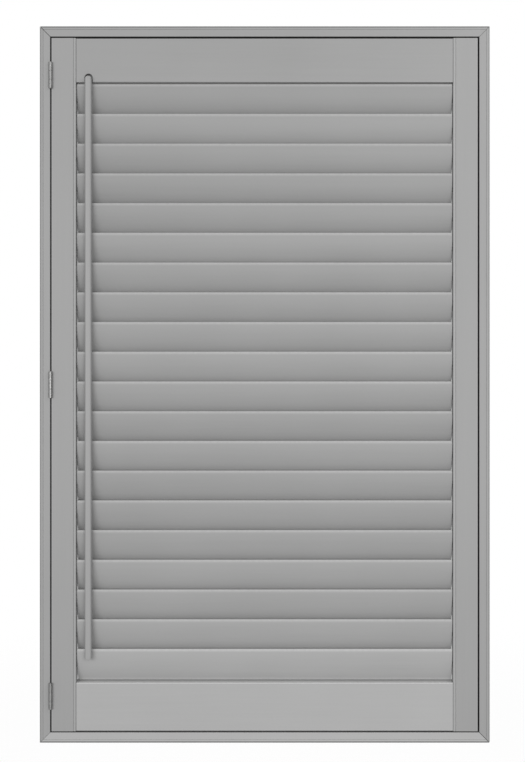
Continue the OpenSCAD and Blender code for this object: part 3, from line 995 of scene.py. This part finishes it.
@dataclass
class Panel:
    """The hinged panel: two stiles, two rails and what is let into or glued to them."""

    shop: Workshop
    bead: float = 4.5 * MM
    groove: float = 1 * MM
    arris: float = 1.2 * MM
    bead_radius: float = 2 * MM
    stile_end_ease: float = 0.5 * MM
    stile_end_mark: float = -1.0
    joint_bevel: float = 0.7 * MM
    joint_mark: float = -3.0
    notch_gap: float = 1.25 * MM
    notch_over: float = 6 * MM
    notch_depth: float = 11.5 * MM
    notch_ease: float = 0.5 * MM
    dowel_ease: float = 0.8 * MM
    trim_ease: float = 0.15 * MM
    # The bottom rail's top, from a little way back, and its front arris are painted lighter:
    # painted light on a ledge that the lamps leave in shade.
    ledge_from: float = 2.5 * MM
    ledge_light: float = 5.0
    ledge_front_light: float = 2.4
    open_low: float = field(init=False)
    open_high: float = field(init=False)

    def __post_init__(self) -> None:
        """Takes the heights between which the rails leave the panel open."""
        _, bottom_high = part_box("bottom_rail")
        top_low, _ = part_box("top_rail")
        self.open_low, self.open_high = bottom_high.z, top_low.z

    def stile_section(self, width: float, depth: float) -> list[RimPoint]:
        """Draws a stile's section, with its bead along the edge at x = width.

        Args:
            width: The stile's width.
            depth: Its thickness.

        Returns:
            The rim's points.
        """
        inner = width - self.bead
        return eased_outline(
            [
                Corner(0, 0, self.arris),
                Corner(inner - self.groove, 0, LIP_ROUND),
                Corner(inner - self.groove, self.groove, QUIRK_ROUND),
                Corner(inner, self.groove, QUIRK_ROUND),
                Corner(inner, 0, LIP_ROUND),
                Corner(width, 0, self.bead_radius),
                Corner(width, depth, self.arris),
                Corner(0, depth, self.arris),
            ]
        )

    def stile(self, node: str) -> bpy.types.Object:
        """Builds a stile.

        Args:
            node: stile_left or stile_right.

        Returns:
            The piece, in place.
        """
        low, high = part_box(node)
        size = high - low
        way, outer = (1, low.x) if node == "stile_left" else (-1, high.x)
        cut = EndCut(ease=self.stile_end_ease, mark=self.stile_end_mark)
        bar = Bar(self.stile_section(size.x, size.y), size.z, cut, cut)
        made = bar.mesh(lambda x, y, t: Vector((outer + way * x, low.y + y, low.z + t)))
        piece = self.shop.object_from(node + "_painted", made)
        if node == "stile_right":
            self.shop.pocket(piece, "strike_plates")
        return self.shop.finish(piece, UPRIGHT_PAINT, "panel", "panel_paint", [node])

    def rail_section(self, width: float, depth: float, ledge: bool) -> list[RimPoint]:
        """Draws a rail's section, with its top at x = width.

        Args:
            width: The rail's width.
            depth: Its thickness.
            ledge: Whether its top is a ledge painted lighter, as painted light.

        Returns:
            The rim's points.
        """
        top_light = self.ledge_light if ledge else None
        front_light = self.ledge_front_light if ledge else None
        lit_ledge = [Corner(width, self.ledge_from, 0, top_light)] if ledge else []
        return eased_outline(
            [
                Corner(0, 0, self.arris),
                Corner(width, 0, self.arris, front_light),
                *lit_ledge,
                Corner(width, depth, self.arris, top_light),
                Corner(0, depth, self.arris),
            ]
        )

    def rail(self, node: str) -> bpy.types.Object:
        """Builds a rail.

        Args:
            node: top_rail or bottom_rail.

        Returns:
            The piece, in place.
        """
        low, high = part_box(node)
        size = high - low
        cut = EndCut(ease=self.joint_bevel, mark=self.joint_mark)
        bar = Bar(self.rail_section(size.z, size.y, node == "bottom_rail"), size.x, cut, cut)
        made = bar.mesh(lambda x, y, t: Vector((low.x + t, low.y + y, low.z + x)))
        piece = self.shop.object_from(node + "_painted", made)
        # The bottom rail takes the lighter coat as painted light.
        coat = LIT_LOW_LEVEL_PAINT
        if node == "top_rail":
            self.notch(piece)
            coat = LEVEL_PAINT
        return self.shop.finish(piece, coat, "panel", "panel_paint", [node])

    def notch(self, piece: bpy.types.Object) -> None:
        """Cuts the arched notch that takes the top of the tilt rod, and eases its arris.

        Args:
            piece: The top rail.
        """
        rod_low, rod_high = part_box("tilt_rod")
        low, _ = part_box("top_rail")
        middle = (rod_low.x + rod_high.x) / 2
        radius = (rod_high.x - rod_low.x) / 2 + self.notch_gap
        spring = rod_high.z + self.notch_over - radius
        over = 1 * MM
        outline = [(-radius, low.z - over), (radius, low.z - over)]
        sides = 28
        for side in range(sides + 1):
            turn = math.pi * side / sides
            outline.append((radius * math.cos(turn), spring + radius * math.sin(turn)))
        made = bmesh.new()
        made.verts.layers.float.new(EDGE)
        front = [made.verts.new((middle + x, low.y - over, z)) for x, z in outline]
        back = [made.verts.new((middle + x, low.y + self.notch_depth, z)) for x, z in outline]
        skin(made, [back, front])
        bmesh.ops.recalc_face_normals(made, faces=made.faces)
        self.shop.carve(piece, self.shop.object_from("notch", made))
        self.ease_notch(piece, low, middle, radius, spring)

    def ease_notch(
        self, piece: bpy.types.Object, low: Vector, middle: float, radius: float, spring: float
    ) -> None:
        """Rounds the notch's front arris.

        Args:
            piece: The top rail, already cut.
            low: The rail's lowest corner.
            middle: The notch's middle.
            radius: The arch's radius.
            spring: The height where the arch starts.
        """
        near = 0.05 * MM
        made = bmesh.new()
        made.from_mesh(piece.data)
        arris = []
        for rim in made.edges:
            centre = (rim.verts[0].co + rim.verts[1].co) / 2
            reach = math.hypot(centre.x - middle, max(0.0, centre.z - spring))
            flat = all(abs(v.co.y - low.y) < near for v in rim.verts)
            above = min(v.co.z for v in rim.verts) > low.z + self.arris - near
            if flat and above and abs(reach - radius) < 2 * near:
                arris.append(rim)
        bmesh.ops.bevel(
            made, geom=arris, offset=self.notch_ease, segments=3, profile=0.5, affect="EDGES"
        )
        made.to_mesh(piece.data)
        made.free()
        LOG.info("notch: %d arris edges eased", len(arris))

    def build(self) -> None:
        """Builds stiles and rails, their dowels and plates, and the light stops."""
        for node in ("stile_left", "stile_right"):
            self.stile(node)
        for node in ("top_rail", "bottom_rail"):
            self.rail(node)
        joined = "rail_dowels_and_stops"
        dowels = self.shop.eased(
            joined, self.dowel_ease, "rail_dowels", lambda place: not self.between(place)
        )
        self.shop.finish(dowels, DOWEL_WOOD, "panel", "dowel_wood", [joined])
        self.shop.softened("strike_plates", self.trim_ease, STRIKE_STEEL, "panel", "strike_steel")
        stops = self.shop.eased(joined, self.trim_ease, "light_stops", self.between)
        self.shop.finish(stops, LEVEL_PAINT, "panel", "panel_paint", [joined])

    def between(self, place: Vector) -> bool:
        """Tells whether a place lies between the rails, where only the light stops are.

        Args:
            place: The place.

        Returns:
            True from the bottom rail's upper edge to the top rail's lower edge.
        """
        near = 0.05 * MM
        return self.open_low - near < place.z < self.open_high + near


# ------------------------------------------------------------------ louvres


@dataclass
class Louvres:
    """The stack of tilting louvres, with their pins and staples."""

    shop: Workshop
    thickness: float = 11 * MM
    nose_radius: float = 2 * MM
    # The noses are painted lighter: a painted highlight.
    nose_highlight: float = 1.7
    end_ease: float = 0.7 * MM
    pin_ease: float = 0.2 * MM
    belly_steps: int = 14
    nose_steps: int = 8
    # Added to the louvres' board numbers: painted shade on the top louvre, turning to painted light
    # on the bottom one.
    top_shade_lift: float = -3.6
    bottom_light_lift: float = 1.2

    def section(self, nose_offset: float) -> list[RimPoint]:
        """Draws the section upright: two shallow arcs that run into round noses.

        Args:
            nose_offset: From the louvre's axis to the middle of a nose.

        Returns:
            The rim's points, with x as thickness and y as width.
        """
        nose, half = self.nose_radius, self.thickness / 2
        belly = (nose_offset**2 + half**2 - nose**2) / (2 * (half - nose))
        spread = math.asin(nose_offset / (belly - nose))
        rim = []
        for facing in (0.0, math.pi):
            side = Matrix.Rotation(facing, 2)
            for step in range(self.belly_steps):
                turn = spread * (2 * step / self.belly_steps - 1)
                x = half - belly + belly * math.cos(turn)
                rim.append(side @ Vector((x, belly * math.sin(turn))))
            for step in range(self.nose_steps):
                turn = spread + (math.pi - 2 * spread) * step / self.nose_steps
                tip = Vector((nose * math.cos(turn), nose_offset + nose * math.sin(turn)))
                rim.append(side @ tip)
        # The nose points carry the painted highlight.
        return [RimPoint(p.x, p.y, self.nose_highlight * (abs(p.y) > nose_offset)) for p in rim]

    def louvre(self, node: str, coat: Paint, lift: float) -> bpy.types.Object:
        """Builds a louvre at its rest lean.

        Args:
            node: The louvre's node.
            coat: Its paint.
            lift: What is added to its random board number, as painted shade or painted light.

        Returns:
            The piece, in place.
        """
        low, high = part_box(node)
        size = high - low
        tall = size.z / 2 - self.nose_radius
        deep = size.y / 2 - self.nose_radius
        lean = math.atan2(deep, tall)
        axis = (low + high) / 2
        upright = Matrix.Rotation(lean, 3, "X")

        def place(x: float, y: float, along: float) -> Vector:
            """Leans a section point and puts it along the louvre."""
            turned_point = upright @ Vector((0, x, y))
            return Vector((low.x + along, axis.y + turned_point.y, axis.z + turned_point.z))

        cut = EndCut(ease=self.end_ease)
        bar = Bar(self.section(math.hypot(tall, deep)), size.x, cut, cut, steps=4)
        piece = self.shop.object_from(node + "_painted", bar.mesh(place))
        return self.shop.finish(piece, coat, node, "louvre_paint", [node], lift)

    def build(self) -> None:
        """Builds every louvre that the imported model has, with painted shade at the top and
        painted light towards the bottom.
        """
        count = sum(node.startswith("louvre_staple_") for node in self.shop.nodes)
        for number in range(1, count + 1):
            # The last louvre takes the lighter coat as painted light.
            coat = LIT_LOW_LOUVRE_PAINT if number == count else LOUVRE_PAINT
            share = (number - 1) / max(1, count - 1)
            lift = self.top_shade_lift + (self.bottom_light_lift - self.top_shade_lift) * share
            self.louvre(f"louvre_{number:02d}", coat, lift)
            self.shop.dress(f"louvre_staple_{number:02d}", STAPLE_STEEL)
        self.shop.softened("louvre_pins", self.pin_ease, PIN_NYLON, "panel", "pin_nylon")


# ------------------------------------------------------------------ tilt rod


@dataclass
class TiltRod:
    """The offset tilt rod, round over its front and at its ends."""

    shop: Workshop
    front_radius: float = 4 * MM
    back_radius: float = 1.2 * MM
    tip_round: float = 1.6 * MM
    first_turn: float = math.radians(12)
    end_rings: int = 12

    def section(self, width: float, depth: float) -> list[RimPoint]:
        """Draws the rod's section about its middle.

        Args:
            width: The rod's width.
            depth: The rod's depth.

        Returns:
            The rim's points.
        """
        half = width / 2
        return eased_outline(
            [
                Corner(-half, 0, self.front_radius),
                Corner(half, 0, self.front_radius),
                Corner(half, depth, self.back_radius),
                Corner(-half, depth, self.back_radius),
            ],
            steps=7,
        )

    def build(self) -> None:
        """Builds the rod; each ring near an end is as wide as the round end is there."""
        low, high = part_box("tilt_rod")
        size = high - low
        half = size.x / 2
        rim = self.section(size.x, size.y)
        first = self.first_turn
        turns = [
            first + (math.pi / 2 - first) * ring / self.end_rings
            for ring in range(self.end_rings + 1)
        ]
        rings = [(half * (1 - math.cos(turn)), half * math.sin(turn)) for turn in turns]
        rings += [(size.z - height, reach) for height, reach in reversed(rings)]
        made = bmesh.new()
        made.verts.layers.float.new(EDGE)
        loops = []
        for height, reach in rings:
            share = reach / half
            soften = (1 - math.sqrt(share)) * self.tip_round
            loop = []
            for point in rim:
                x = max(-reach, min(reach, point.x))
                y = max(soften, min(size.y - soften / 2, point.y))
                place = Vector((low.x + half + x, low.y + y, low.z + height))
                loop.append(made.verts.new(place))
            loops.append(loop)
        skin(made, loops)
        bmesh.ops.dissolve_degenerate(made, edges=made.edges, dist=WELD)
        bmesh.ops.remove_doubles(made, verts=made.verts, dist=WELD)
        bmesh.ops.recalc_face_normals(made, faces=made.faces)
        piece = self.shop.object_from("tilt_rod_painted", made)
        self.shop.finish(piece, ROD_PAINT, "tilt_rod", "rod_paint", ["tilt_rod"])
        self.shop.dress("rod_staples", STAPLE_STEEL)


# ------------------------------------------------------------------ hinges


@dataclass
class Hinges:
    """The three butt hinges and their screws."""

    shop: Workshop
    leaf_ease: float = 0.22 * MM
    tip_ease: float = 0.45 * MM
    head_ease: float = 0.10 * MM
    recess_length: float = 3.2 * MM
    recess_width: float = 0.8 * MM
    recess_depth: float = 0.7 * MM
    recess_taper: float = 0.55
    head_across: float = 7 * MM

    def recess(self, piece: bpy.types.Object, way: int) -> None:
        """Cuts the cross recess into the head of every screw of a piece.

        Args:
            piece: All the screws of one set of leaves.
            way: 1 if the heads look along +X, -1 if along -X.
        """
        heads = self.heads(piece, way)
        made = bmesh.new()
        made.verts.layers.float.new(EDGE)
        across, thin, over = self.recess_length / 2, self.recess_width / 2, 0.4 * MM
        outline = [
            (across, -thin), (across, thin), (thin, thin), (thin, across),
            (-thin, across), (-thin, thin), (-across, thin), (-across, -thin),
            (-thin, -thin), (-thin, -across), (thin, -across), (thin, -thin),
        ]
        for head in heads:
            loops = []
            for depth, share in ((-over, 1.0), (self.recess_depth, self.recess_taper)):
                loop = [
                    made.verts.new((head.x - way * depth, head.y + a * share, head.z + b * share))
                    for a, b in outline
                ]
                loops.append(loop)
            skin(made, loops)
        bmesh.ops.recalc_face_normals(made, faces=made.faces)
        self.shop.carve(piece, self.shop.object_from("recess", made))

    def heads(self, piece: bpy.types.Object, way: int) -> list[Vector]:
        """Finds the middle of each screw's head.

        Args:
            piece: All the screws of one set of leaves.
            way: 1 if the heads look along +X, -1 if along -X.

        Returns:
            One point per screw, in the plane of its head.
        """
        face = max(way * v.co.x for v in piece.data.vertices) * way
        near = 0.02 * MM
        spots: list[list[Vector]] = []
        for vertex in piece.data.vertices:
            if abs(vertex.co.x - face) > near:
                continue
            for spot in spots:
                if (spot[0] - vertex.co).length < self.head_across:
                    spot.append(vertex.co.copy())
                    break
            else:
                spots.append([vertex.co.copy()])
        return [sum(spot, Vector()) / len(spot) for spot in spots]

    def screws(self, node: str, body: str, way: int) -> None:
        """Builds one set of screws, recessed before they are finished.

        Args:
            node: The screws' node.
            body: The body they ride on.
            way: 1 if the heads look along +X, -1 if along -X.
        """
        piece = self.shop.eased(node, self.head_ease)
        self.recess(piece, way)
        self.shop.finish(piece, SCREW_STEEL, body, "hinge_metal", [node])

    def build(self) -> None:
        """Builds leaves, pins and screws."""
        for body in ("frame", "panel"):
            leaves = f"hinge_{body}_leaves"
            self.shop.softened(leaves, self.leaf_ease, HINGE_STEEL, body, "hinge_metal")
        self.shop.softened("hinge_pins", self.tip_ease, PIN_STEEL, "frame", "hinge_metal")
        self.screws("hinge_frame_screws", "frame", 1)
        self.screws("hinge_panel_screws", "panel", -1)


# ------------------------------------------------------------------ studio


@dataclass(frozen=True)
class SoftLight:
    """A soft rectangular lamp that points at the shutter's middle."""

    name: str
    place: tuple[float, float, float]
    size: tuple[float, float]
    power: float


@dataclass
class Studio:
    """The plain floor, the soft lamps, the white surround and the camera."""

    camera_distance: float = 2.8
    field_height: float = 1.4583
    camera_offset: tuple[float, float] = (-0.0043, 0.0067)
    sensor_width: float = 36
    surround: float = 0.40
    floor_radius: float = 1.5
    floor_fade_from: float = 0.5
    floor_tone: float = 0.86
    floor_roughness: float = 0.9
    floor_gloss: float = 0.1
    floor_clear: float = 0.975
    lamps: tuple[SoftLight, ...] = (
        SoftLight("left_window", (-5.0, -10.9, 1.7), (6.9, 4.5), 530.0),
        SoftLight("front_box", (0.87, -3.60, 0.62), (1.7, 1.7), 33.0),
        SoftLight("top_right_box", (0.85, -1.05, 1.72), (0.5, 0.5), 2.7),
    )
    middle: Vector = field(init=False)
    face: float = field(init=False)

    def __post_init__(self) -> None:
        """Takes the shutter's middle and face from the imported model."""
        left_low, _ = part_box(Side.LEFT.value)
        _, right_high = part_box(Side.RIGHT.value)
        _, top_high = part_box(Side.TOP.value)
        self.face = left_low.y
        self.middle = Vector(((left_low.x + right_high.x) / 2, 0.0, top_high.z / 2))

    def floor(self) -> None:
        """Makes the pale floor, which fades into the white surround."""
        made = bmesh.new()
        bmesh.ops.create_circle(made, cap_ends=True, radius=2 * self.floor_radius, segments=96)
        data = bpy.data.meshes.new("floor")
        made.to_mesh(data)
        made.free()
        floor = bpy.data.objects.new("floor", data)
        bpy.context.scene.collection.objects.link(floor)
        board = Board("pale_floor")
        look = board.shader.inputs
        look["Base Color"].default_value = (*[self.floor_tone] * 3, 1)
        look["Roughness"].default_value = self.floor_roughness
        look["Specular IOR Level"].default_value = self.floor_gloss
        place = board.add("TexCoord").outputs["Object"]
        reach = board.add("VectorMath", {0: place}, operation="LENGTH").outputs["Value"]
        spread = {
            "Value": reach,
            "From Min": self.floor_fade_from,
            "From Max": self.floor_radius,
            "To Min": self.floor_clear,
        }
        fade = board.add("MapRange", spread, interpolation_type="SMOOTHSTEP").outputs["Result"]
        clear = board.add("BsdfTransparent").outputs[0]
        mix = board.add("MixShader", {"Fac": fade, 1: board.shader.outputs[0], 2: clear})
        board.feed(board.tree.nodes["Material Output"].inputs["Surface"], mix.outputs[0])
        data.materials.append(board.material)

    def light(self) -> None:
        """Hangs the lamps and sets the surround: white to look at, softer as a light."""
        for lamp in self.lamps:
            data = bpy.data.lights.new(lamp.name, "AREA")
            data.shape = "RECTANGLE"
            data.size, data.size_y = lamp.size
            data.energy = lamp.power
            shown = bpy.data.objects.new(lamp.name, data)
            bpy.context.scene.collection.objects.link(shown)
            shown.location = lamp.place
            shown.visible_camera = False
            away = Vector(lamp.place) - self.middle
            shown.rotation_euler = away.to_track_quat("Z", "Y").to_euler()
        world = bpy.data.worlds.new("studio")
        world.use_nodes = True
        bpy.context.scene.world = world
        tree = world.node_tree
        seen = tree.nodes.new("ShaderNodeLightPath")
        level = tree.nodes.new("ShaderNodeMapRange")
        level.inputs["To Min"].default_value = self.surround
        level.inputs["To Max"].default_value = 1.0
        back = tree.nodes["Background"]
        back.inputs["Color"].default_value = (1, 1, 1, 1)
        tree.links.new(seen.outputs["Is Camera Ray"], level.inputs["Value"])
        tree.links.new(level.outputs["Result"], back.inputs["Strength"])

    def camera(self) -> None:
        """Sets the camera square on to the face, at the shutter's mid height."""
        data = bpy.data.cameras.new("camera")
        data.sensor_width = self.sensor_width
        data.lens = data.sensor_width * self.camera_distance / self.field_height
        shown = bpy.data.objects.new("camera", data)
        bpy.context.scene.collection.objects.link(shown)
        across, up = self.camera_offset
        shown.location = (
            self.middle.x + across,
            self.face - self.camera_distance,
            self.middle.z + up,
        )
        shown.rotation_euler = (math.pi / 2, 0, 0)
        bpy.context.scene.camera = shown
        bpy.context.scene.view_settings.view_transform = "Standard"

    def build(self) -> None:
        """Builds floor, lamps and camera."""
        self.floor()
        self.light()
        self.camera()


# ------------------------------------------------------------------ main


def main() -> None:
    """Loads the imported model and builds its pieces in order."""
    logging.basicConfig(level=logging.INFO, format="%(name)s: %(message)s")
    for spare in list(bpy.data.objects):
        bpy.data.objects.remove(spare)
    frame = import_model()
    shop = Workshop(frame)
    for assembly in (OuterFrame(shop), Panel(shop), Louvres(shop), TiltRod(shop), Hinges(shop)):
        assembly.build()
    Studio().build()


if __name__ == "__main__":
    main()
